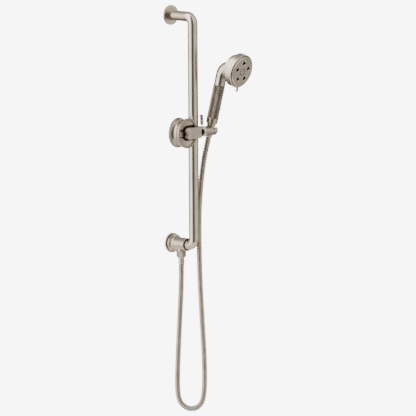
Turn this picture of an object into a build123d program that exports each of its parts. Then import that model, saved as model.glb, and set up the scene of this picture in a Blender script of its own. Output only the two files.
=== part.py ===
"""Slide-bar hand shower set: wall bar, slider with pulley wheel, cradle, handset and metal hose.

Millimetres, +Z up. The wall is the plane Y = 0 and the room is toward -Y. The origin is
the mouth of the supply inlet, at the centre of the lower wall flange.
"""

import os
from math import cos, pi, radians, sin, sqrt, tan

from build123d import *

os.makedirs("parts", exist_ok=True)

# Wall bar
post_gap = 570.0  # between the axes of the two wall posts
bar_out = 80.0  # wall to bar axis
bar_r = 12.7
bar_bore = 11.2
elbow_bore = 9.4  # the upper bend is a thick casting
bend_r = 19.0
flange_r = 25.0
barrel_r = 16.4
barrel_end = 57.6  # wall to the barrel's open end
outlet_out = 34.0  # wall to the hose outlet's axis

# Slider
slider_z = 285.7
slider_turn = 7.0  # degrees that the slider is turned about the bar, arm toward the wall
wheel_r = 37.5
wheel_half = 17.0
wheel_x = -41.2  # bar axis to wheel axis, along the arm
groove_r = 13.4
ring_bore = 31.6
arm_back = 17.5
arm_front = 27.2
arm_half = 14.7
arm_end = 1.5
cradle_out = 23.0  # bar axis to cradle axis, toward the room
cradle_r = 13.0
cradle_start = 10.0
cradle_end = 55.3
lever_x = 7.4
lever_lean = 4.0  # degrees that the lock lever leans toward the wall
handle_x = 37.2
handle_lean = 15.0  # degrees that the handset leans toward the room

# Handset, along the handle from the cradle axis
cone_bottom, cone_top = -14.3, 13.0
cone_r_low, cone_r_high = 8.5, 10.3
collar_low, grip_low, grip_high = 21.0, 35.0, 121.0
collar_r, grip_r = 14.7, 14.4
neck_r, neck_bore, neck_bend = 14.2, 10.8, 26.0
head_up = 174.2  # cradle axis to head axis
head_back, drum_step, ring_back, ring_front, face_front = 26.4, 39.7, 52.3, 58.2, 61.7
back_drum_r, front_drum_r, face_r = 34.6, 42.4, 38.3
jet_circle, jet_r, jet_count = 22.0, 5.0, 5
pin_circle, pin_r, pin_count = 8.4, 1.75, 9

# Hose
hose_r = 7.0
hose_bore = 6.2
run = 0.05  # radial clearance of a turning fit

# Frames. Each has its Z axis along what is turned or drilled there.
upper_post = Plane(origin=(0, 0, post_gap), x_dir=(1, 0, 0), z_dir=(0, -1, 0))
lower_post = Plane(origin=(0, 0, 0), x_dir=(1, 0, 0), z_dir=(0, -1, 0))
outlet = Plane(origin=(0, -outlet_out, 0), x_dir=(1, 0, 0), z_dir=(0, 0, -1))
turn = radians(slider_turn)
slider = Plane(origin=(0, -bar_out, slider_z), x_dir=(cos(turn), sin(turn), 0), z_dir=(0, 0, 1))


def placed(plane, position=(0, 0, 0), angles=(0, 0, 0)):
    """A plane moved and then turned (degrees about its own X, Y, Z) from another plane."""
    return Plane(plane.location * Location(position, angles))


wheel_axis = placed(slider, (wheel_x, 0, 0), (90, 0, 0))
cradle_axis = placed(slider, (0, -cradle_out, 0), (0, 90, 0))
lever_axis = placed(slider, (lever_x, -cradle_out, 0), (-lever_lean, 0, 0))
handset = placed(slider, (handle_x, -cradle_out, 0), (handle_lean, 0, 0))
head = placed(handset, (0, 0, head_up), (90, 0, 0))


def turned(frame, *outline):
    """A solid turned about the frame's Z axis from (radius, height) points."""
    with BuildPart() as piece:
        with BuildSketch(placed(frame, angles=(90, 0, 0))):
            with BuildLine():
                Polyline(*outline, close=True)
            make_face()
        revolve(axis=Axis(frame.origin, frame.z_dir))
    return piece.part


def rod(frame, radius, low, high, bore=0.0):
    """A plain or bored cylinder along the frame's Z axis."""
    with BuildPart() as piece:
        with BuildSketch(frame.offset(low)):
            Circle(radius)
            if bore:
                Circle(bore, mode=Mode.SUBTRACT)
        extrude(amount=high - low)
    return piece.part


def bent_tube(points, radius, outer, bore):
    """A tube along straight runs joined by arcs of the same radius."""
    with BuildPart() as piece:
        with BuildLine() as path:
            FilletPolyline(*points, radius=radius)
        with BuildSketch(Plane(origin=path.wire() @ 0, z_dir=path.wire() % 0)):
            Circle(outer)
            Circle(bore, mode=Mode.SUBTRACT)
        sweep()
    return piece.part


def save(piece, name):
    """Labels a finished piece and writes it as one STEP file."""
    piece.part.label = name
    export_step(piece.part, f"parts/{name}.step")


# ---- Wall side -------------------------------------------------------------

grub_r = 2.0
upper_grub_at = 22.0
lower_grub_at = 47.5
upper_grub = placed(upper_post, (0, 0, upper_grub_at), (90, 0, 0))
lower_grub = placed(lower_post, (0, 0, lower_grub_at), (90, 0, 0))

with BuildPart() as upper_bracket:
    screw_r, head_r = 2.75, 5.2
    add(
        turned(
            upper_post,
            (screw_r, 0), (18, 0), (18, 3), (elbow_bore - 0.1, 3), (elbow_bore - 0.1, 34),
            (head_r, 34), (head_r, 8), (screw_r, 8),
        )
    )
    add(rod(upper_grub, grub_r + 0.05, 7.0, 10), mode=Mode.SUBTRACT)

with BuildPart() as upper_flange:
    add(
        turned(
            upper_post,
            (21, 0), (flange_r - 0.4, 0), (flange_r, 0.4), (flange_r, 4.4), (flange_r - 0.9, 5.3),
            (15.8, 5.3), (15.2, 5.9), (15.2, 8.5), (14.7, 9), (bar_r + run, 9), (bar_r + run, 3.5), (21, 3.5),
        )
    )

with BuildPart() as upper_bend:
    spigot_r, spigot_length = 11.1, 16.0
    seam_z = post_gap - bend_r - 0.5
    bend_path = [(0, -3.2, post_gap), (0, -bar_out, post_gap), (0, -bar_out, seam_z)]
    add(bent_tube(bend_path, bend_r, bar_r, elbow_bore))
    chamfer(edges().filter_by(GeomType.CIRCLE).group_by(Axis.Z)[0].sort_by(SortBy.RADIUS)[-1], 0.35)
    bar_top = Plane(origin=(0, -bar_out, seam_z), z_dir=(0, 0, -1))
    add(rod(bar_top, spigot_r, -0.4, spigot_length, elbow_bore))
    add(rod(upper_grub, grub_r + 0.05, 8, 14), mode=Mode.SUBTRACT)

with BuildPart() as slide_bar:
    bar_end = 44.0
    bar_path = [(0, -bar_out, seam_z - 0.05), (0, -bar_out, 0), (0, -bar_end, 0)]
    add(bent_tube(bar_path, bend_r, bar_r, bar_bore))
    chamfer(edges().filter_by(GeomType.CIRCLE).group_by(Axis.Z)[-1].sort_by(SortBy.RADIUS)[-1], 0.35)

with BuildPart() as lower_flange:
    neck_of_elbow = 15.0
    add(
        turned(
            lower_post,
            (neck_of_elbow + 0.1, 3.6), (22, 3.6), (22, 0), (flange_r - 0.4, 0), (flange_r, 0.4),
            (flange_r, 4.3), (flange_r - 0.9, 5.2), (neck_of_elbow + 0.1, 5.2),
        )
    )

with BuildPart() as flange_gasket:
    collar_at = 7.6
    add(rod(lower_post, 20.8, 5.2, collar_at, neck_of_elbow + 0.02))

with BuildPart() as supply_elbow:
    inlet_r, inlet_depth, water_r, outlet_r, nipple_r = 9.3, 14.0, 7.0, 7.0, 10.0
    socket_r, mouth_r, socket_floor, mouth_floor = bar_r + 0.1, 14.8, 43.4, 50.4
    add(
        turned(
            lower_post,
            (0, 0), (neck_of_elbow, 0), (neck_of_elbow, collar_at), (22.0, collar_at), (22.6, 8.2),
            (22.6, 12.4), (21.8, 13.4), (19.8, 13.8), (18.0, 14.7), (16.9, 16.2), (barrel_r, 18.2),
            (barrel_r, barrel_end - 0.7), (barrel_r - 0.7, barrel_end), (0, barrel_end),
        )
    )
    shoulder_at, nipple_end = 17.4, 28.0
    add(rod(outlet, 11.0, 0, shoulder_at))
    add(rod(outlet, nipple_r, shoulder_at, nipple_end))
    add(rod(lower_post, inlet_r, 0, inlet_depth), mode=Mode.SUBTRACT)
    add(rod(lower_post, water_r, 0, outlet_out), mode=Mode.SUBTRACT)
    add(rod(outlet, outlet_r, 0, nipple_end), mode=Mode.SUBTRACT)
    add(rod(lower_post, socket_r, socket_floor, barrel_end), mode=Mode.SUBTRACT)
    add(rod(lower_post, mouth_r, mouth_floor, barrel_end), mode=Mode.SUBTRACT)
    add(rod(lower_grub, grub_r + 0.05, socket_r - 1, barrel_r + 1), mode=Mode.SUBTRACT)

with BuildPart() as bar_gasket:
    add(rod(lower_post, mouth_r - 0.05, mouth_floor, mouth_floor + 2.2, bar_r + 0.02))

with BuildPart() as set_screws:
    add(rod(upper_grub, grub_r, 7.2, bar_r - 0.3))
    add(rod(lower_grub, grub_r, bar_r + 0.02, barrel_r - 0.3))

with BuildPart() as check_valve:
    valve_low, valve_high = 14.0, 25.0
    add(rod(outlet, outlet_r - 0.1, valve_low, valve_high))
    with BuildSketch(outlet.offset(valve_low)):
        with PolarLocations(4.0, 4):
            Circle(1.9)
    extrude(amount=valve_high - valve_low, mode=Mode.SUBTRACT)

# ---- Hose ends -------------------------------------------------------------

with BuildPart() as lower_hose_nut:
    nut_flats, nut_top, nut_bottom = 22.0, 17.6, 33.6
    with BuildSketch(outlet.offset(nut_top)):
        RegularPolygon(radius=nut_flats / 2, side_count=6, major_radius=False)
    extrude(amount=nut_bottom - nut_top)
    # The corners are turned off at both ends.
    add(
        turned(
            outlet,
            (0, nut_top), (11.2, nut_top), (12.8, nut_top + 1.1), (12.8, nut_bottom - 2.6),
            (9.9, nut_bottom), (0, nut_bottom),
        ),
        mode=Mode.INTERSECT,
    )
    add(rod(outlet, nipple_r + 0.05, nut_top, 31.6), mode=Mode.SUBTRACT)
    add(rod(outlet, 8.15, 31.6, nut_bottom), mode=Mode.SUBTRACT)

with BuildPart() as lower_hose_washer:
    washer_bore, washer_bottom = 6.0, 30.0
    add(rod(outlet, 9.6, nipple_end, washer_bottom, washer_bore))

hose_start, ferrule_bore = 50.0, 5.0
with BuildPart() as lower_ferrule:
    add(
        turned(
            outlet,
            (ferrule_bore, washer_bottom), (9.7, washer_bottom), (9.7, 31.5), (8.05, 31.5), (8.05, 35.2),
            (7.8, 36), (7.8, 48.6), (7.3, hose_start), (ferrule_bore, hose_start),
        )
    )

with BuildPart() as hose_cone:
    shoulder, thread_low = 9.0, 12.4
    add(
        turned(
            handset,
            (8.0, cone_bottom), (cone_r_low, cone_bottom), (cone_r_high, cone_top), (11.3, 14.6),
            (11.3, collar_low - 0.3), (9.45, collar_low - 0.3), (9.45, shoulder), (8.0, shoulder),
        )
    )

with BuildPart() as upper_ferrule:
    hose_end, washer_low = -16.0, 10.4
    add(
        turned(
            handset,
            (ferrule_bore, hose_end), (7.3, hose_end), (7.9, -14.6), (7.9, shoulder), (9.3, shoulder),
            (9.3, washer_low), (ferrule_bore, washer_low),
        )
    )

with BuildPart() as upper_hose_washer:
    add(rod(handset, 9.3, washer_low, thread_low, washer_bore))

# ---- Hose: straight runs joined by tangent arcs, in the upright plane of outlet and cradle ----

# Each point is a distance from the outlet toward the cradle, and a height.
hose_points = [
    (0, -hose_start), (0, -90), (-3.4, -160), (-7.6, -235), (-10.9, -305), (-12.2, -350), (-11, -384),
    (-3.5, -403.5), (12.5, -415.5), (32, -415.8), (47.2, -405.5), (55, -386), (58.2, -350), (57.6, -285),
    (52.6, -190), (47.8, -95), (45.8, 5), (46.6, 95), (53.4, 170), (61.8, 225),
]
hose_side = Vector(handset.origin.X, handset.origin.Y + outlet_out, 0).normalized()
hose_route = [hose_side * across + Vector(0, -outlet_out, height) for across, height in hose_points]
last_run = 22.0
hose_route.append(handset.origin + handset.z_dir * (hose_end - last_run))
hose_route.append(handset.origin + handset.z_dir * hose_end)


def arc_radii(points):
    """Each corner's arc, as large as its two runs allow."""
    radii = []
    for before, at, after in zip(points, points[1:], points[2:]):
        into = at - before
        out = after - at
        half_turn = radians(into.get_angle(out) / 2)
        radii.append(0.45 * min(into.length, out.length) / tan(half_turn))
    return radii


with BuildPart() as hose:
    with BuildLine() as hose_path:
        FilletPolyline(*hose_route, radius=arc_radii(hose_route))
    with BuildSketch(Plane(origin=hose_path.wire() @ 0, z_dir=hose_path.wire() % 0)):
        Circle(hose_r)
        Circle(hose_bore, mode=Mode.SUBTRACT)
    sweep()

hose_length = hose_path.wire().length
hose_volume = pi * (hose_r**2 - hose_bore**2) * hose_length
print("hose length", round(hose_length, 1), "volume ratio", round(hose.part.volume / hose_volume, 5))
print("hose radii", [round(r, 1) for r in arc_radii(hose_route)])

# ---- Slider ----------------------------------------------------------------


def along_n(low, high, x=0.0, z=0.0):
    """A plane across the slider's room direction, and the length between two depths."""
    return placed(slider, (x, -low, z), (90, 0, 0)), high - low


bush_r, bush_half = 13.1, 8.5
saddle_r, saddle_half = 17.0, 9.0
saddle_from, saddle_to = -97.0, 30.0  # degrees about the bar, from the cradle's side toward the room
yoke_front, yoke_back = -18.8, -23.3
axle_r, hub_r = 5.0, 8.6

with BuildPart() as slider_bushing:
    add(rod(slider, bush_r, -bush_half, bush_half, bar_r + run))

with BuildPart() as carriage:
    # A saddle that wraps the bar's far side, on a plate behind the wheel.
    with BuildSketch(slider.offset(-saddle_half)):
        with BuildLine():
            for saddle_arc in (bush_r + run, saddle_r):
                CenterArc((0, 0), saddle_arc, -saddle_to, saddle_to - saddle_from)
            for side in (-saddle_to, -saddle_from):
                across = Vector(cos(radians(side)), sin(radians(side)))
                Line(across * (bush_r + run), across * saddle_r)
        make_face()
    extrude(amount=2 * saddle_half)
    pad_centre, pad_width, pad_end, yoke_r = 3.2, 10.6, 8.5, 11.5
    pad, pad_depth = along_n(yoke_front - 0.5, -14.6)
    with BuildSketch(pad):
        with Locations((pad_centre, 0)):
            Rectangle(pad_width, 2 * saddle_half)
    extrude(amount=pad_depth)
    plate, plate_depth = along_n(yoke_back, yoke_front)
    with BuildSketch(plate):
        with Locations(((wheel_x + pad_end) / 2, 0)):
            Rectangle(pad_end - wheel_x, 2 * saddle_half)
        with Locations((wheel_x, 0)):
            Circle(yoke_r)
    extrude(amount=plate_depth)
    add(rod(slider, bush_r + run, -saddle_half, saddle_half), mode=Mode.SUBTRACT)
    add(rod(wheel_axis, axle_r + 0.02, yoke_back - 1, yoke_front + 1), mode=Mode.SUBTRACT)

spindle_r, spindle_low, spindle_high = 3.5, -12.5, 23.5
with BuildPart() as arm:
    front_cap_r, front_cap_depth = 10.9, 1.2
    arm_sketch, arm_depth = along_n(arm_back, arm_front)
    with BuildSketch(arm_sketch):
        with Locations(((wheel_x + arm_end) / 2, 0)):
            Rectangle(arm_end - wheel_x, 2 * arm_half)
        with Locations((wheel_x, 0)):
            Circle(arm_half)
    extrude(amount=arm_depth)
    chamfer(faces().sort_by(Axis(slider.origin, -slider.y_dir))[-1].outer_wire().edges(), 1.1)
    add(rod(wheel_axis, hub_r, 14.6, arm_back + 1))
    add(rod(wheel_axis, front_cap_r, arm_front - front_cap_depth, arm_front + 1), mode=Mode.SUBTRACT)
    add(rod(wheel_axis, axle_r + 0.02, 14, 25.4), mode=Mode.SUBTRACT)
    add(rod(cradle_axis, spindle_r + 0.02, spindle_low - 0.1, arm_end + 1), mode=Mode.SUBTRACT)

with BuildPart() as arm_cap:
    cap_low, cap_r = arm_front - front_cap_depth, 10.2
    add(
        turned(
            wheel_axis,
            (0, cap_low), (cap_r, cap_low), (cap_r, arm_front - 0.1), (cap_r - 0.5, arm_front + 0.4),
            (0, arm_front + 0.4),
        )
    )

with BuildPart() as wheel_axle:
    head_low, axle_end = yoke_back - 2.8, 25.2
    add(
        turned(
            wheel_axis,
            (0, head_low), (7.2, head_low), (8, head_low + 0.8), (8, yoke_back), (axle_r, yoke_back),
            (axle_r, axle_end), (0, axle_end),
        )
    )

with BuildPart() as wheel_washer:
    add(rod(wheel_axis, 9.5, yoke_front, -wheel_half - 0.3, axle_r + 0.02))

with BuildPart() as wheel:
    recess_floor = 11.0
    groove_centre = -wheel_x
    flange_in = sqrt(groove_r**2 - (groove_centre - wheel_r) ** 2)
    with BuildSketch(placed(wheel_axis, angles=(90, 0, 0))):
        with BuildLine():
            Polyline(
                (wheel_r, flange_in), (wheel_r, wheel_half - 0.5), (wheel_r - 0.5, wheel_half),
                (ring_bore + 0.4, wheel_half), (ring_bore, wheel_half - 0.4), (ring_bore, recess_floor),
                (axle_r + run, recess_floor), (axle_r + run, -wheel_half), (wheel_r - 2.2, -wheel_half),
                (wheel_r - 1.4, -wheel_half + 0.8), (wheel_r, -wheel_half + 1.3), (wheel_r, -flange_in),
            )
            ThreePointArc((wheel_r, -flange_in), (groove_centre - groove_r, 0), (wheel_r, flange_in))
        make_face()
    revolve(axis=Axis(wheel_axis.origin, wheel_axis.z_dir))
    # The thumb tab runs inward from the front rim, on the side away from the bar.
    tab_half, tab_reach, tab_back = 6.2, 12.0, 14.6
    tab_plane, tab_depth = along_n(tab_back, wheel_half, wheel_x)
    with BuildSketch(tab_plane):
        with Locations((-(ring_bore + 1.5 - tab_reach / 2 - 0.75), 0)):
            RectangleRounded(tab_reach + 1.5, 2 * tab_half, 0.8)
    extrude(amount=tab_depth)

dish_r, channel_half, tab_slot_half, channel_floor = ring_bore - 0.05, 19.2, 9.8, 11.7


def dish_channel(low, high, gap, outer_r):
    """The sunk track round the arm's end: wide along the arm, narrow beside the thumb tab."""
    track, depth = along_n(low, high, wheel_x)
    reach = dish_r + 2
    with BuildPart() as piece:
        with BuildSketch(track):
            Circle(channel_half - gap)
            with Locations((reach / 2, 0)):
                Rectangle(reach, 2 * (channel_half - gap))
            with Locations((-reach / 2, 0)):
                Rectangle(reach, 2 * (tab_slot_half - gap))
            Circle(outer_r, mode=Mode.INTERSECT)
        extrude(amount=depth)
    return piece.part


with BuildPart() as wheel_dish:
    add(
        turned(
            wheel_axis,
            (axle_r + 0.3, recess_floor), (dish_r, recess_floor), (dish_r, 14.2), (28, 13.7), (22, 12.9),
            (14, 12.3), (axle_r + 0.3, 12.1),
        )
    )
    add(dish_channel(channel_floor, wheel_half, 0.0, dish_r + 1), mode=Mode.SUBTRACT)

with BuildPart() as dish_insert:
    add(dish_channel(channel_floor + 0.02, channel_floor + 0.6, 0.1, dish_r - 0.2))
    add(rod(wheel_axis, axle_r + 0.3, channel_floor, channel_floor + 1), mode=Mode.SUBTRACT)

with BuildPart() as cradle_spindle:
    add(rod(cradle_axis, spindle_r, spindle_low, spindle_high))

washer_end, ring_start = 3.9, 4.2
stud_r, stud_low, stud_high, lever_top = 1.7, 6.0, 40.0, 29.3
with BuildPart() as pivot_washer:
    add(rod(cradle_axis, 7.0, arm_end + 0.3, washer_end, spindle_r + 0.02))

with BuildPart() as tilt_ring:
    # A collar that widens toward the cradle, so that its other end stays clear of the bar.
    add(
        turned(
            cradle_axis,
            (spindle_r + run, ring_start), (9.6, ring_start), (10.2, ring_start + 0.6),
            (12.3, cradle_start - 1.6), (12.6, cradle_start - 0.4), (spindle_r + run, cradle_start - 0.4),
        )
    )
    add(rod(lever_axis, stud_r + 0.02, stud_low - 0.2, 14), mode=Mode.SUBTRACT)

with BuildPart() as tilt_lever:
    add(
        turned(
            lever_axis,
            (0, stud_low), (stud_r, stud_low), (stud_r, 16.6), (3.6, 17.6), (4.35, 18.4), (4.35, 28.9),
            (4.0, lever_top), (1.4, lever_top), (1.4, stud_high), (0, stud_high),
        )
    )

with BuildPart() as lever_knob:
    knob_low, knob_r, knob_top, blind_end = lever_top + 0.2, 4.1, 42.5, stud_high + 0.2
    add(
        turned(
            lever_axis,
            (1.42, knob_low), (knob_r, knob_low), (knob_r, 41.6), (3.3, knob_top), (0, knob_top),
            (0, blind_end), (1.42, blind_end),
        )
    )

# The cone's taper, repeated by the socket at a set distance outside it.
cone_slope = (cone_r_high - cone_r_low) / (cone_top - cone_bottom)


def socket_cone(gap):
    """A solid of the cone's taper, wider by the gap and longer than the cradle."""
    low, high = -18.0, 18.0
    r_low = cone_r_low + cone_slope * (low - cone_bottom) + gap
    r_high = cone_r_low + cone_slope * (high - cone_bottom) + gap
    return turned(handset, (0, low), (r_low, low), (r_high, high), (0, high))


def hose_slot():
    """The space that the hose passes through, from the socket out of the cradle's far end."""
    slot_half, slot_reach, slot_height = 7.6, 30.0, 40.0
    with BuildPart() as piece:
        with BuildSketch(handset.offset(-slot_height / 2)):
            with Locations((slot_reach / 2, 0)):
                Rectangle(slot_reach, 2 * slot_half)
        extrude(amount=slot_height)
    return piece.part


liner_gap, liner_wall = 0.06, 1.2


def cradle_hollow():
    """Everything cut from the cradle, as one solid: socket, hose slot and spindle bore."""
    with BuildPart() as piece:
        add(socket_cone(liner_gap + liner_wall + 0.02))
        add(hose_slot())
        add(rod(cradle_axis, spindle_r + run, cradle_start - 1, spindle_high + 0.5))
    return piece.part


with BuildPart() as cradle:
    end_round = 4.0
    with BuildSketch(placed(cradle_axis, angles=(90, 0, 0))):
        with BuildLine():
            Polyline(
                (0, cradle_end), (0, cradle_start), (cradle_r - 1, cradle_start),
                (cradle_r, cradle_start + 1), (cradle_r, cradle_end - end_round),
            )
            CenterArc((cradle_r - end_round, cradle_end - end_round), end_round, 0, 90)
            Line((cradle_r - end_round, cradle_end), (0, cradle_end))
        make_face()
    revolve(axis=Axis(cradle_axis.origin, cradle_axis.z_dir))
    add(cradle_hollow(), mode=Mode.SUBTRACT)

with BuildPart() as cradle_liner:
    add(socket_cone(liner_gap + liner_wall))
    add(socket_cone(liner_gap), mode=Mode.SUBTRACT)
    add(rod(cradle_axis, cradle_r - 0.4, cradle_start, cradle_end + 5), mode=Mode.INTERSECT)
    add(hose_slot(), mode=Mode.SUBTRACT)

# ---- Handset ---------------------------------------------------------------

shank_r, shank_low = 11.0, 24.0
with BuildPart() as handle_end:
    add(
        turned(
            handset,
            (6, thread_low), (9.35, thread_low), (9.35, collar_low), (14, collar_low),
            (collar_r, collar_low + 0.7), (collar_r, grip_low - 0.7), (14, grip_low),
            (shank_r + run, grip_low), (shank_r + run, shank_low), (6, shank_low),
        )
    )

with BuildPart() as inlet_filter:
    filter_low, filter_depth = 13.0, 2.0
    add(rod(handset, 5.95, filter_low, filter_low + filter_depth))
    with BuildSketch(handset.offset(filter_low)):
        for circle_r, count in ((1.9, 5), (4.1, 10)):
            with PolarLocations(circle_r, count):
                Circle(0.8)
    extrude(amount=filter_depth, mode=Mode.SUBTRACT)

with BuildPart() as grip:
    bottom, top = grip_low + 0.2, grip_high
    add(
        turned(
            handset,
            (shank_r + run, bottom), (13.8, bottom), (grip_r, bottom + 0.7), (grip_r, top - 0.7),
            (13.8, top), (shank_r + run, top),
        )
    )

neck_end = 33.0
with BuildPart() as neck:
    corner = handset.origin + handset.z_dir * head_up
    add(
        bent_tube(
            [handset.origin + handset.z_dir * (grip_high + 0.2), corner, corner + head.z_dir * neck_end],
            neck_bend, neck_r, neck_bore,
        )
    )
    add(rod(handset, shank_r, shank_low + 0.2, grip_high + 1, 8.0))

with BuildPart() as head_shell:
    shell_in, drum_in, shell_floor, lip = 31.6, 39.0, 29.4, 43.0
    groove_floor = back_drum_r - 0.35
    add(
        turned(
            head,
            (neck_r + 0.1, head_back), (back_drum_r - 1.6, head_back), (back_drum_r - 0.5, head_back + 0.5),
            (back_drum_r, head_back + 1.6), (back_drum_r, 31.6), (groove_floor, 31.8), (groove_floor, 32.2),
            (back_drum_r, 32.4), (back_drum_r, 35.8), (groove_floor, 36), (groove_floor, 36.4),
            (back_drum_r, 36.6), (back_drum_r, drum_step),
            (front_drum_r - 0.9, drum_step), (front_drum_r, drum_step + 0.9), (front_drum_r, ring_back - 0.3),
            (drum_in, ring_back - 0.3), (drum_in, lip), (shell_in, lip), (shell_in, shell_floor),
            (neck_r + 0.1, shell_floor),
        )
    )

jet_ports = placed(head, angles=(0, 0, 90))
with BuildPart() as water_core:
    post_r, post_low, post_high, screw_hole = 6.0, 34.0, 52.2, 2.0
    core_back, core_front, jet_port_r = 44.5, 48.0, 3.4
    add(
        turned(
            head,
            (screw_hole, post_low), (post_r, post_low), (post_r, core_back), (28.5, core_back), (28.5, 30),
            (31.3, 30), (31.3, 43.2), (38.7, 43.2), (38.7, core_front), (post_r, core_front),
            (post_r, post_high), (screw_hole, post_high),
        )
    )
    with BuildSketch(jet_ports.offset(core_back)):
        with PolarLocations(jet_circle, jet_count):
            Circle(jet_port_r)
    extrude(amount=core_front - core_back, mode=Mode.SUBTRACT)
    ball_circle, ball_r, seat_floor = 34.0, 1.85, 44.9
    ball_seat = placed(head, (0, ball_circle, 0))
    add(rod(ball_seat, ball_r + 0.2, seat_floor, core_front + 1), mode=Mode.SUBTRACT)

with BuildPart() as seals:
    add(rod(head, 31.2, shell_floor, shell_floor + 0.6, 28.6))
    add(rod(head, 31.5, core_front, core_front + 1.0, 29.5))

with BuildPart() as detent_ball:
    ball_at = 47.2
    with Locations(Location(ball_seat.origin + ball_seat.z_dir * ball_at)):
        Sphere(ball_r)

with BuildPart() as detent_spring:
    coil_r, wire_r, pitch, coil_rise = 1.65, 0.15, 0.5, 0.9
    coil_foot = ball_seat.origin + ball_seat.z_dir * (seat_floor + 0.17)
    with BuildLine() as coil:
        Helix(pitch, coil_rise, coil_r, center=coil_foot, direction=ball_seat.z_dir)
    with BuildSketch(Plane(origin=coil.wire() @ 0, z_dir=coil.wire() % 0)):
        Circle(wire_r)
    sweep(path=coil.wire(), is_frenet=True)

with BuildPart() as diverter_disc:
    disc_back, disc_r, pin_port_circle = 49.25, 38.3, 12.5
    add(rod(head, disc_r, disc_back, ring_back, post_r + run))
    with BuildSketch(jet_ports.offset(disc_back)):
        with PolarLocations(jet_circle, jet_count):
            Circle(jet_port_r)
        with PolarLocations(pin_port_circle, pin_count):
            Circle(pin_r)
    extrude(amount=ring_back - disc_back, mode=Mode.SUBTRACT)

stem_at = 55.3
lever_foot = placed(head, (0, 0, stem_at), (90, 0, 0))
with BuildPart() as selector_ring:
    ring_in = 39.2
    add(
        turned(
            head,
            (30, ring_back), (front_drum_r - 0.3, ring_back), (front_drum_r, ring_back + 0.3),
            (front_drum_r, ring_front - 1.0), (front_drum_r - 1.0, ring_front), (ring_in + 0.2, ring_front),
            (ring_in, ring_front - 0.2), (ring_in, 53.8), (30, 53.8),
        )
    )
    add(rod(lever_foot, 2.45, 39.9, 44), mode=Mode.SUBTRACT)

with BuildPart() as selector_lever:
    tip_r, tip_at = 3.9, 50.3
    add(turned(lever_foot, (0, 40), (2.4, 40), (2.4, 42.5), (3.2, 42.5), (3.2, tip_at), (0, tip_at)))
    with Locations(Location(lever_foot.origin + lever_foot.z_dir * tip_at)):
        Sphere(tip_r)

with BuildPart() as face_plate:
    boss_r, plate_back, skirt_end, boss_end, screw_end = 5.8, 58.6, 54.2, 52.3, 57.2
    add(
        turned(
            head,
            (0, face_front), (face_r - 1.3, face_front), (face_r, face_front - 1.3), (face_r, skirt_end),
            (36.4, skirt_end), (36.4, plate_back), (boss_r, plate_back), (boss_r, boss_end), (0, boss_end),
        )
    )
    add(rod(head, screw_hole, boss_end - 0.3, screw_end + 0.2), mode=Mode.SUBTRACT)
    with BuildSketch(jet_ports.offset(plate_back - 1)):
        with PolarLocations(jet_circle, jet_count):
            Circle(jet_r)
        with PolarLocations(pin_circle, pin_count):
            Circle(pin_r)
    extrude(amount=face_front - plate_back + 2, mode=Mode.SUBTRACT)
    rims = edges().filter_by(GeomType.CIRCLE).filter_by(lambda edge: abs(edge.radius - jet_r) < 0.01)
    jet_bevel = 1.1
    chamfer(rims.group_by(Axis(head.origin, head.z_dir))[-1], jet_bevel)

with BuildPart() as nozzle_mat:
    # Soft nozzles stand up through the plate's holes, a little below its face.
    mat_back, jet_high, pin_high = 56.6, 60.4, 61.4
    add(rod(head, 36.2, mat_back, plate_back - 0.05, boss_r + 0.1))
    for circle_r, hole_r, bore_r, count, high in (
        (jet_circle, jet_r, jet_r - 1.6, jet_count, jet_high),
        (pin_circle, pin_r, pin_r - 0.95, pin_count, pin_high),
    ):
        with BuildSketch(jet_ports.offset(mat_back)):
            with PolarLocations(circle_r, count):
                Circle(hole_r - 0.1)
        extrude(amount=high - mat_back)
        with BuildSketch(jet_ports.offset(mat_back)):
            with PolarLocations(circle_r, count):
                Circle(bore_r)
        extrude(amount=high - mat_back, mode=Mode.SUBTRACT)

with BuildPart() as face_screw:
    thread_r = 1.95
    add(
        turned(
            head,
            (0, 31.4), (3.2, 31.4), (3.8, 32), (3.8, post_low), (thread_r, post_low), (thread_r, screw_end),
            (0, screw_end),
        )
    )

pieces = {
    "upper_bracket": upper_bracket,
    "upper_flange": upper_flange,
    "upper_bend": upper_bend,
    "slide_bar": slide_bar,
    "set_screws": set_screws,
    "lower_flange": lower_flange,
    "flange_gasket": flange_gasket,
    "supply_elbow": supply_elbow,
    "bar_gasket": bar_gasket,
    "check_valve": check_valve,
    "lower_hose_nut": lower_hose_nut,
    "lower_hose_washer": lower_hose_washer,
    "lower_ferrule": lower_ferrule,
    "hose": hose,
    "hose_cone": hose_cone,
    "upper_ferrule": upper_ferrule,
    "upper_hose_washer": upper_hose_washer,
    "slider_bushing": slider_bushing,
    "carriage": carriage,
    "arm": arm,
    "arm_cap": arm_cap,
    "wheel_axle": wheel_axle,
    "wheel_washer": wheel_washer,
    "wheel": wheel,
    "wheel_dish": wheel_dish,
    "dish_insert": dish_insert,
    "cradle_spindle": cradle_spindle,
    "pivot_washer": pivot_washer,
    "tilt_ring": tilt_ring,
    "tilt_lever": tilt_lever,
    "lever_knob": lever_knob,
    "cradle": cradle,
    "cradle_liner": cradle_liner,
    "handle_end": handle_end,
    "inlet_filter": inlet_filter,
    "grip": grip,
    "neck": neck,
    "head_shell": head_shell,
    "water_core": water_core,
    "seals": seals,
    "detent_ball": detent_ball,
    "detent_spring": detent_spring,
    "diverter_disc": diverter_disc,
    "selector_ring": selector_ring,
    "selector_lever": selector_lever,
    "face_plate": face_plate,
    "nozzle_mat": nozzle_mat,
    "face_screw": face_screw,
}

for node_name, node in pieces.items():
    save(node, node_name)
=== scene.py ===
"""Visual model of the slide-bar hand shower: nickel materials, knurled pieces and a ribbed hose."""

from math import cos, pi, radians, sin

import bpy
from mathutils import Matrix, Vector


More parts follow.
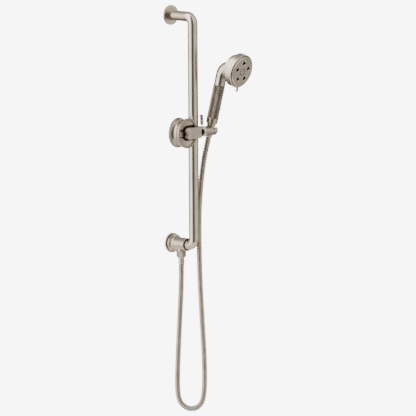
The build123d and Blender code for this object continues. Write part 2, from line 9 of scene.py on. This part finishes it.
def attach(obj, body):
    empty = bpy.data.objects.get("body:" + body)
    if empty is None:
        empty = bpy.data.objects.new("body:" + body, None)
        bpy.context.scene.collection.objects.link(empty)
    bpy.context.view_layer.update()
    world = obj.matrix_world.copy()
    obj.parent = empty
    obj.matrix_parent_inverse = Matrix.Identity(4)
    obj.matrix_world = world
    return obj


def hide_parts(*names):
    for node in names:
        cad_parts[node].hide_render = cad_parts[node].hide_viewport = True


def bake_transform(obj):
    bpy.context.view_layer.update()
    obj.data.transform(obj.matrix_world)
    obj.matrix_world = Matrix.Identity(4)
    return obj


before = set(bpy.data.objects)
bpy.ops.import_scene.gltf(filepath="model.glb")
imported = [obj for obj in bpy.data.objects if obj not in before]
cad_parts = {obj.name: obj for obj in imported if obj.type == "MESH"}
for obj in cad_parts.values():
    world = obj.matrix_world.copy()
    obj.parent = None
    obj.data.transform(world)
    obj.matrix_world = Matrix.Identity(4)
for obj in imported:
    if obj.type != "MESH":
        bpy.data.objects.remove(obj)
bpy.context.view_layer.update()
MM = 0.001

# ---- Camera ----------------------------------------------------------------

AIM = Vector((0.0270, -0.1026, 0.0936))
AZIMUTH, ELEVATION, ROLL = radians(-44.15), radians(7.73), radians(-0.367)
DISTANCE = 12.52
LENS, SENSOR = 436.7, 36.0


def add_camera():
    """A long lens, far away, looking at the set from the left and slightly above."""
    back = Vector((sin(AZIMUTH) * cos(ELEVATION), -cos(AZIMUTH) * cos(ELEVATION), sin(ELEVATION)))
    right = Vector((cos(AZIMUTH), sin(AZIMUTH), 0))
    up = back.cross(right)
    turned_right = right * cos(ROLL) + up * sin(ROLL)
    turned_up = up * cos(ROLL) - right * sin(ROLL)
    camera = bpy.data.objects.new("camera", bpy.data.cameras.new("camera"))
    camera.data.lens = LENS
    camera.data.sensor_width = SENSOR
    camera.data.clip_end = 100
    place = Matrix((turned_right, turned_up, back)).transposed().to_4x4()
    place.translation = AIM + back * DISTANCE
    camera.matrix_world = place
    bpy.context.collection.objects.link(camera)
    bpy.context.scene.camera = camera


# ---- Materials -------------------------------------------------------------


class Shader:
    """A node material built up step by step around one Principled shader."""

    def __init__(self, name, colour, metallic=0.0, roughness=0.5, **sockets):
        self.material = bpy.data.materials.new(name)
        self.material.use_nodes = True
        self.tree = self.material.node_tree
        self.shader = self.tree.nodes["Principled BSDF"]
        self.shader.inputs["Base Color"].default_value = (*colour, 1)
        self.shader.inputs["Metallic"].default_value = metallic
        self.shader.inputs["Roughness"].default_value = roughness
        for socket, value in sockets.items():
            self.shader.inputs[socket.replace("_", " ")].default_value = value
        self.position = self.tree.nodes.new("ShaderNodeTexCoord").outputs["Object"]

    def node(self, kind, inputs=(), **settings):
        made = self.tree.nodes.new(kind)
        for key, value in settings.items():
            setattr(made, key, value)
        for socket, value in dict(inputs).items():
            if isinstance(value, bpy.types.NodeSocket):
                self.tree.links.new(value, made.inputs[socket])
            else:
                made.inputs[socket].default_value = value
        return made

    def link(self, value, socket):
        self.tree.links.new(value, self.shader.inputs[socket])

    def noise(self, scale, stretch=(1, 1, 1), detail=3.0, axes=None):
        """Noise over the object, scaled per axis; axes turns the pattern, as Euler angles."""
        mapping = self.node("ShaderNodeMapping", {"Vector": self.position, "Scale": stretch})
        if axes:
            mapping.inputs["Rotation"].default_value = axes
        found = self.node(
            "ShaderNodeTexNoise", {"Vector": mapping.outputs[0], "Scale": scale, "Detail": detail}
        )
        return found.outputs["Fac"]

    def between(self, value, low, high, start=0.3, end=0.7):
        """Maps a value to a number or a colour range."""
        if isinstance(low, tuple):
            ramp = self.node("ShaderNodeValToRGB", {"Fac": value})
            ramp.color_ramp.elements[0].position = start
            ramp.color_ramp.elements[0].color = (*low, 1)
            ramp.color_ramp.elements[1].position = end
            ramp.color_ramp.elements[1].color = (*high, 1)
            return ramp.outputs["Color"]
        mapped = self.node(
            "ShaderNodeMapRange",
            {"Value": value, "From Min": start, "From Max": end, "To Min": low, "To Max": high},
        )
        return mapped.outputs[0]

    def bump(self, height, strength, distance):
        made = self.node("ShaderNodeBump", {"Height": height, "Strength": strength, "Distance": distance})
        self.link(made.outputs["Normal"], "Normal")


NICKEL_LOW, NICKEL_HIGH = (0.45, 0.385, 0.315), (0.54, 0.47, 0.39)
# Noise scales, per metre: the brushed lines, and the slow change of tone.
LINE_SCALE, CLOUD_SCALE = 900, 35


def brushed_nickel(
    name, stretch, axes=None, low=NICKEL_LOW, high=NICKEL_HIGH, rough=(0.16, 0.26), grain=0.06
):
    """Warm nickel with fine brushed lines; stretch is small along the brushing."""
    made = Shader(name, high, metallic=1.0, roughness=0.3)
    lines = made.noise(LINE_SCALE, stretch, 4.0, axes)
    cloud = made.noise(CLOUD_SCALE, detail=2.0)
    made.link(made.between(cloud, low, high), "Base Color")
    made.link(made.between(lines, *rough), "Roughness")
    made.bump(lines, grain, 0.00006)
    return made.material


def plain(name, low, high, rough, scale=220, metallic=0.0, bump=0.15, gloss=0.5):
    """A moulded or turned surface with fine mottling."""
    made = Shader(name, high, metallic=metallic, roughness=rough, Specular_IOR_Level=gloss)
    grain = made.noise(scale, detail=4.0)
    made.link(made.between(grain, low, high), "Base Color")
    made.link(made.between(grain, rough - 0.06, rough + 0.08), "Roughness")
    made.bump(grain, bump, 0.0001)
    return made.material


along_z = (1, 1, 0.02)
along_y = (1, 0.02, 1)
MATERIALS = {
    "bar": brushed_nickel("bar_nickel", along_z),
    "nickel": brushed_nickel("nickel", (1, 1, 1), rough=(0.25, 0.33), grain=0.03),
    # Painted shade: the wheel's nickel is a darker copy of the nickel, for the dark shaded rim of the wheel.
    "wheel": brushed_nickel(
        "wheel_nickel_painted_shade", (1, 1, 1), None, (0.29, 0.245, 0.20), (0.36, 0.31, 0.255), (0.24, 0.32), 0.03
    ),
    "post": brushed_nickel("post_nickel", along_y),
    "handle": brushed_nickel("handle_nickel", along_z, axes=(radians(-15), 0, 0)),
    # Painted shade: the knurled pieces' nickel is a darker copy of the nickel, for the shade in the knurl's
    # grooves.
    "knurl": brushed_nickel(
        "knurl_nickel_painted_shade", (1, 1, 1), None, (0.14, 0.12, 0.10), (0.22, 0.19, 0.16), (0.26, 0.36), 0.03
    ),
    # Painted light: the face plate's nickel is a lighter copy of the nickel, for the brightly lit flat face.
    "face": brushed_nickel(
        "face_nickel", (1, 1, 1), None, (0.52, 0.445, 0.37), (0.60, 0.52, 0.44), (0.30, 0.40), 0.03
    ),
    "hose": brushed_nickel(
        "hose_nickel", (1, 1, 1), None, (0.25, 0.215, 0.18), (0.34, 0.295, 0.25), (0.16, 0.26), 0.02
    ),
    # Painted shade: a near-black material for the dish insert round the arm's end and for the pivot washer,
    # standing for the shade in the wheel's dish and in the gap between the arm and the cradle.
    "dark": plain("dark_recess", (0.006, 0.005, 0.005), (0.02, 0.018, 0.016), 0.5, gloss=0.2),
    "rubber": plain("black_rubber", (0.006, 0.006, 0.006), (0.014, 0.013, 0.012), 0.62, gloss=0.1),
    "fibre": plain("fibre_washer", (0.16, 0.03, 0.02), (0.26, 0.06, 0.04), 0.75),
    "brass": plain("turned_brass", (0.48, 0.32, 0.12), (0.62, 0.44, 0.19), 0.3, metallic=1.0),
    "white": plain("white_plastic", (0.70, 0.70, 0.67), (0.80, 0.80, 0.78), 0.42),
    "black": plain("black_plastic", (0.012, 0.012, 0.013), (0.03, 0.03, 0.031), 0.4),
    "steel": plain("steel", (0.45, 0.45, 0.46), (0.58, 0.58, 0.59), 0.28, metallic=1.0),
}
FINISHES = {
    "bar": ["slide_bar"],
    "post": ["upper_bend", "supply_elbow"],
    "nickel": [
        "upper_flange", "lower_flange", "lower_hose_nut", "lower_ferrule", "carriage", "arm", "arm_cap",
        "tilt_lever", "tilt_ring", "cradle", "head_shell", "selector_ring", "selector_lever", "upper_ferrule",
        "wheel_dish",
    ],
    "wheel": ["wheel"],
    "handle": ["hose_cone", "handle_end", "neck"],
    "knurl": ["grip", "lever_knob"],
    "face": ["face_plate"],
    "hose": ["hose"],
    # Painted shade: these two are near-black to stand for shade in the wheel's dish and between the arm and
    # the cradle.
    "dark": ["dish_insert", "pivot_washer"],
    "rubber": ["flange_gasket", "bar_gasket", "seals", "nozzle_mat"],
    "fibre": ["lower_hose_washer", "upper_hose_washer"],
    "brass": ["upper_bracket"],
    "white": ["check_valve", "slider_bushing", "wheel_washer"],
    "black": ["cradle_liner", "inlet_filter", "water_core", "diverter_disc"],
    "steel": ["set_screws", "wheel_axle", "cradle_spindle", "detent_ball", "detent_spring", "face_screw"],
}


def finish_frame():
    """Gives every CAD node its material."""
    for key, nodes in FINISHES.items():
        for node in nodes:
            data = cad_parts[node].data
            data.materials.clear()
            data.materials.append(MATERIALS[key])


# ---- Places ----------------------------------------------------------------

# The set's own angles and distances, as in the CAD. Distances are in millimetres along SLIDER_X and
# SLIDER_N, from the bar's axis: the slider's arm runs along SLIDER_X, and SLIDER_N faces the room.
TURN, LEAN, LEVER_LEAN = radians(7.0), radians(15.0), radians(4.0)
CRADLE_OUT, HANDLE_ALONG, LEVER_ALONG = 23.0, 37.2, 7.4
SLIDER_X = Vector((cos(TURN), sin(TURN), 0))
SLIDER_N = Vector((sin(TURN), -cos(TURN), 0))
UP = Vector((0, 0, 1))
SLIDER_AT = Vector((0, -80, 285.7)) * MM
HANDLE_AT = SLIDER_AT + (SLIDER_X * HANDLE_ALONG + SLIDER_N * CRADLE_OUT) * MM
HANDLE_UP = SLIDER_N * sin(LEAN) + UP * cos(LEAN)
LEVER_AT = SLIDER_AT + (SLIDER_X * LEVER_ALONG + SLIDER_N * CRADLE_OUT) * MM
LEVER_UP = UP * cos(LEVER_LEAN) - SLIDER_N * sin(LEVER_LEAN)
OUTLET = Vector((0, -34, 0)) * MM


# ---- Mesh helpers ----------------------------------------------------------


def add_mesh(name, verts, faces, material, smooth=True):
    data = bpy.data.meshes.new(name)
    data.from_pydata([tuple(v) for v in verts], [], faces)
    data.update()
    if smooth:
        data.shade_smooth()
    data.materials.append(material)
    made = bpy.data.objects.new(name, data)
    bpy.context.collection.objects.link(made)
    return made


# ---- Knurled pieces --------------------------------------------------------


def knurled(name, node, at, axis, rings, columns, material):
    """A turned piece from (radius, height, raised) rings in millimetres, the last joined to the first.

    Where both rings of a band are raised, every second corner stands out, and each cell is split along
    its two low corners, so that four cells make one pyramid.
    """
    side = (Vector((1, 0, 0)) - axis * axis.x).normalized()
    other = axis.cross(side)
    verts, faces = [], []
    for i, (radius, height, raised) in enumerate(rings):
        for k in range(columns):
            angle = 2 * pi * k / columns
            reach = (radius + (raised if (i + k) % 2 else 0)) * MM
            verts.append(at + axis * height * MM + (side * cos(angle) + other * sin(angle)) * reach)
    for i in range(len(rings)):
        after_ring = (i + 1) % len(rings)
        raised = rings[i][2] and rings[after_ring][2]
        for k in range(columns):
            after = (k + 1) % columns
            a, b = i * columns + k, i * columns + after
            c, d = after_ring * columns + after, after_ring * columns + k
            if not raised:
                faces.append((a, b, c, d))
            elif (i + k) % 2:
                faces += [(a, b, d), (b, c, d)]
            else:
                faces += [(a, b, c), (a, c, d)]
    made = add_mesh(name, verts, faces, material, smooth=False)
    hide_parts(node)
    return made


def knurl_rows(radius, low, high, pitch, raised):
    """Rings half a pitch apart from low to high."""
    rows = round(2 * (high - low) / pitch)
    return [(radius, low + (high - low) * i / rows, raised) for i in range(rows + 1)]


def build_grip():
    """The handset's knurled sleeve, bored for the shank inside it."""
    low, high, bore, radius = 35.2, 121.0, 11.05, 14.25
    rings = [(bore, low, 0), (13.8, low, 0), (14.4, low + 0.6, 0), (radius, low + 0.9, 0)]
    rings += knurl_rows(radius, low + 1.0, high - 1.0, 1.6, 0.4)
    rings += [(radius, high - 0.9, 0), (14.4, high - 0.6, 0), (13.8, high, 0), (bore, high, 0)]
    grip = knurled("knurled_grip", "grip", HANDLE_AT, HANDLE_UP, rings, 112, MATERIALS["knurl"])
    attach(grip, "handset")


def build_lever_knob():
    """The knurled knob on the tilt lever's stud, with a blind hole."""
    low, high, bore, radius = 29.5, 42.5, 1.42, 3.95
    rings = [
        (0.01, high - 2.3, 0), (bore, high - 2.3, 0), (bore, low, 0), (3.7, low, 0), (radius, low + 0.3, 0)
    ]
    rings += knurl_rows(radius, low + 0.5, high - 1.3, 1.3, 0.3)
    rings += [(radius, high - 1.0, 0), (3.3, high, 0), (0.01, high, 0)]
    knob = knurled("knurled_knob", "lever_knob", LEVER_AT, LEVER_UP, rings, 40, MATERIALS["knurl"])
    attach(knob, "tilt_lock")


# ---- Hose ------------------------------------------------------------------

HOSE_R = 7.0 * MM
# Along the handle from the cradle's axis: where the hose ends, and the straight run before that.
HOSE_END, HOSE_STRAIGHT = -16.0 * MM, 22 * MM
# Distance from the outlet toward the cradle, and height, in millimetres.
HOSE_POINTS = [
    (0, -50), (0, -90), (-3.4, -160), (-7.6, -235), (-10.9, -305), (-12.2, -350), (-11, -384),
    (-3.5, -403.5), (12.5, -415.5), (32, -415.8), (47.2, -405.5), (55, -386), (58.2, -350),
    (57.6, -285), (52.6, -190), (47.8, -95), (45.8, 5), (46.6, 95), (53.4, 170), (61.8, 225),
]


def hose_side():
    """The level direction from the outlet toward the cradle."""
    side = HANDLE_AT - OUTLET
    side.z = 0
    return side.normalized()


def hose_route():
    """The route's points, in metres, from the outlet's ferrule to the handset's."""
    side = hose_side()
    route = [OUTLET + side * across * MM + UP * height * MM for across, height in HOSE_POINTS]
    route.append(HANDLE_AT + HANDLE_UP * (HOSE_END - HOSE_STRAIGHT))
    route.append(HANDLE_AT + HANDLE_UP * HOSE_END)
    return route


def smooth_line(route):
    """Points along the NURBS spline whose control points are the route."""
    curve = bpy.data.curves.new("hose_line", "CURVE")
    curve.dimensions = "3D"
    spline = curve.splines.new("NURBS")
    spline.points.add(len(route) - 1)
    for point, place in zip(spline.points, route):
        point.co = (*place, 1)
    spline.order_u = 3
    spline.use_endpoint_u = True
    spline.resolution_u = 64
    carrier = bpy.data.objects.new("hose_line", curve)
    bpy.context.collection.objects.link(carrier)
    data = bpy.data.meshes.new_from_object(carrier)
    line = [v.co.copy() for v in data.vertices]
    bpy.data.objects.remove(carrier)
    bpy.data.meshes.remove(data)
    return line


def evenly(line, step):
    """Points a set distance apart along a line, and the directions there."""
    places, directions, travelled, target = [], [], 0.0, 0.0
    for a, b in zip(line, line[1:]):
        length = (b - a).length
        while length and travelled + length >= target:
            places.append(a.lerp(b, (target - travelled) / length))
            directions.append((b - a) / length)
            target += step
        travelled += length
    return places, directions


RIB_PITCH = 7.0 * MM
RIB_STEPS = 14
HOSE_SIDES = 30
# A rib's lowest point and its rise, as shares of the hose's radius; a power under 1 makes it full.
RIB_ROOT, RIB_RISE, RIB_POWER = 0.70, 0.36, 0.7


def rib_radius(phase):
    """One rounded rib per turn of the wound strip, with a narrow groove where phase is whole."""
    return HOSE_R * (RIB_ROOT + RIB_RISE * sin(pi * (phase % 1.0)) ** RIB_POWER)


def wound_rings(places, directions):
    """A ring of points around every place on the hose, with the ribs running round it as a helix."""
    side = Vector((1, 0, 0))
    rings = []
    for i, (place, along) in enumerate(zip(places, directions)):
        side = (side - along * side.dot(along)).normalized()
        other = along.cross(side)
        ring = []
        for k in range(HOSE_SIDES):
            angle = 2 * pi * k / HOSE_SIDES
            radius = rib_radius(i / RIB_STEPS + k / HOSE_SIDES)
            ring.append(place + (side * cos(angle) + other * sin(angle)) * radius)
        rings.append(ring)
    return rings


def tube(name, rings, material):
    """A closed tube through rings of points."""
    sides = len(rings[0])
    verts = [point for ring in rings for point in ring]
    faces = []
    count = len(rings)
    for i in range(count - 1):
        low, high = i * sides, (i + 1) * sides
        for k in range(sides):
            after = (k + 1) % sides
            faces.append((low + k, low + after, high + after, high + k))
    faces.append(tuple(reversed(range(sides))))
    faces.append(tuple(range((count - 1) * sides, count * sides)))
    return add_mesh(name, verts, faces, material)


# The upper end of the hose is cut into three lengths of this size, and the loop is the fourth.
SECTION = 88.0 * MM
# A point for the loop's end, from the outlet: across, toward the cradle, and up, in metres.
# Both are set by trial, and the point is nearly level with the outlet.
LOOP_ACROSS, LOOP_UP = 0.0527, 0.0102
# The steps are a hair short, so that rounding doesn't lose the last place on the hose.
STEP_SLACK = 0.999999


def build_hose():
    """The hose in four lengths, end to end."""
    line = smooth_line(hose_route())
    length = sum((b - a).length for a, b in zip(line, line[1:]))
    step = length / (round(length / RIB_PITCH) * RIB_STEPS)
    places, directions = evenly(line, step * STEP_SLACK)
    rings = wound_rings(places, directions)
    count = round(SECTION / step)
    last = len(places) - 1
    cuts = [0] + [last - k * count for k in (3, 2, 1, 0)]
    for k, (first, end) in enumerate(zip(cuts, cuts[1:])):
        part = tube(f"shower_hose_{k + 1}", rings[first:end + 1], MATERIALS["hose"])
        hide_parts("hose")
        finish = places[0] + hose_side() * LOOP_ACROSS + UP * LOOP_UP if k == 0 else places[end]
        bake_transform(part)


# ---- Studio ----------------------------------------------------------------


def add_stage():
    """A pale round floor below the set."""
    radius, level, sides = 1.1, -0.8, 96
    angles = [2 * pi * k / sides for k in range(sides)]
    verts = [Vector((radius * cos(angle), radius * sin(angle), level)) for angle in angles]
    floor_shader = Shader("floor_paint", (0.9, 0.9, 0.9), roughness=0.9)
    floor = add_mesh("floor", verts, [tuple(range(sides))], floor_shader.material)


# Light round the set that the metal sees: (degrees round from the camera's side, level) pairs, their
# tint, and the strength from straight below and straight above.
STUDIO_STOPS = [
    (-180, 0.24), (-125, 0.26), (-108, 0.36), (-88, 2.2), (-60, 3.3), (-44, 3.0), (-34, 0.6), (-27, 0.10),
    (11, 0.10), (20, 0.45), (34, 0.85), (80, 0.90), (100, 0.72), (116, 0.28), (180, 0.24),
]
STUDIO_TINT = (0.4, 0.385, 0.365)
STUDIO_LEVEL = 2.1
STUDIO_BELOW, STUDIO_ABOVE = 0.7 * STUDIO_LEVEL, 3.2 * STUDIO_LEVEL
# The white that the camera sees behind the set. A stronger one eats into the edges of thin pieces.
BACKDROP_STRENGTH = 8.0


def add_world():
    """A white studio: seen by the camera as white, and by the metal as soft boxes with dark gaps."""
    world = bpy.data.worlds.new("studio")
    world.use_nodes = True
    bpy.context.scene.world = world
    tree = world.node_tree
    nodes, links = tree.nodes, tree.links
    nodes.clear()
    coordinates = nodes.new("ShaderNodeTexCoord")
    turn = nodes.new("ShaderNodeMapping")
    turn.inputs["Rotation"].default_value = (0, 0, radians(90) - AZIMUTH)
    links.new(coordinates.outputs["Generated"], turn.inputs["Vector"])
    radial = nodes.new("ShaderNodeTexGradient")
    radial.gradient_type = "RADIAL"
    links.new(turn.outputs[0], radial.inputs["Vector"])
    ramp = nodes.new("ShaderNodeValToRGB")
    links.new(radial.outputs["Fac"], ramp.inputs["Fac"])
    elements = ramp.color_ramp.elements
    while len(elements) < len(STUDIO_STOPS):
        elements.new(0.5)
    for element, (angle, level) in zip(elements, STUDIO_STOPS):
        element.position = 0.5 + angle / 360
        element.color = (*(level * part for part in STUDIO_TINT), 1)
    # Directions from above are brighter and from below darker.
    split = nodes.new("ShaderNodeSeparateXYZ")
    links.new(coordinates.outputs["Generated"], split.inputs[0])
    height = nodes.new("ShaderNodeMapRange")
    links.new(split.outputs["Z"], height.inputs["Value"])
    height.inputs["From Min"].default_value = -1
    height.inputs["To Min"].default_value = STUDIO_BELOW
    height.inputs["To Max"].default_value = STUDIO_ABOVE
    metal_light = nodes.new("ShaderNodeBackground")
    links.new(ramp.outputs["Color"], metal_light.inputs["Color"])
    links.new(height.outputs[0], metal_light.inputs["Strength"])
    white = nodes.new("ShaderNodeBackground")
    white.inputs["Color"].default_value = (1, 1, 1, 1)
    white.inputs["Strength"].default_value = BACKDROP_STRENGTH
    path = nodes.new("ShaderNodeLightPath")
    mix = nodes.new("ShaderNodeMixShader")
    links.new(path.outputs["Is Camera Ray"], mix.inputs["Fac"])
    links.new(metal_light.outputs[0], mix.inputs[1])
    links.new(white.outputs[0], mix.inputs[2])
    output = nodes.new("ShaderNodeOutputWorld")
    links.new(mix.outputs[0], output.inputs["Surface"])


add_camera()
finish_frame()
build_grip()
build_lever_knob()
build_hose()
add_stage()
add_world()
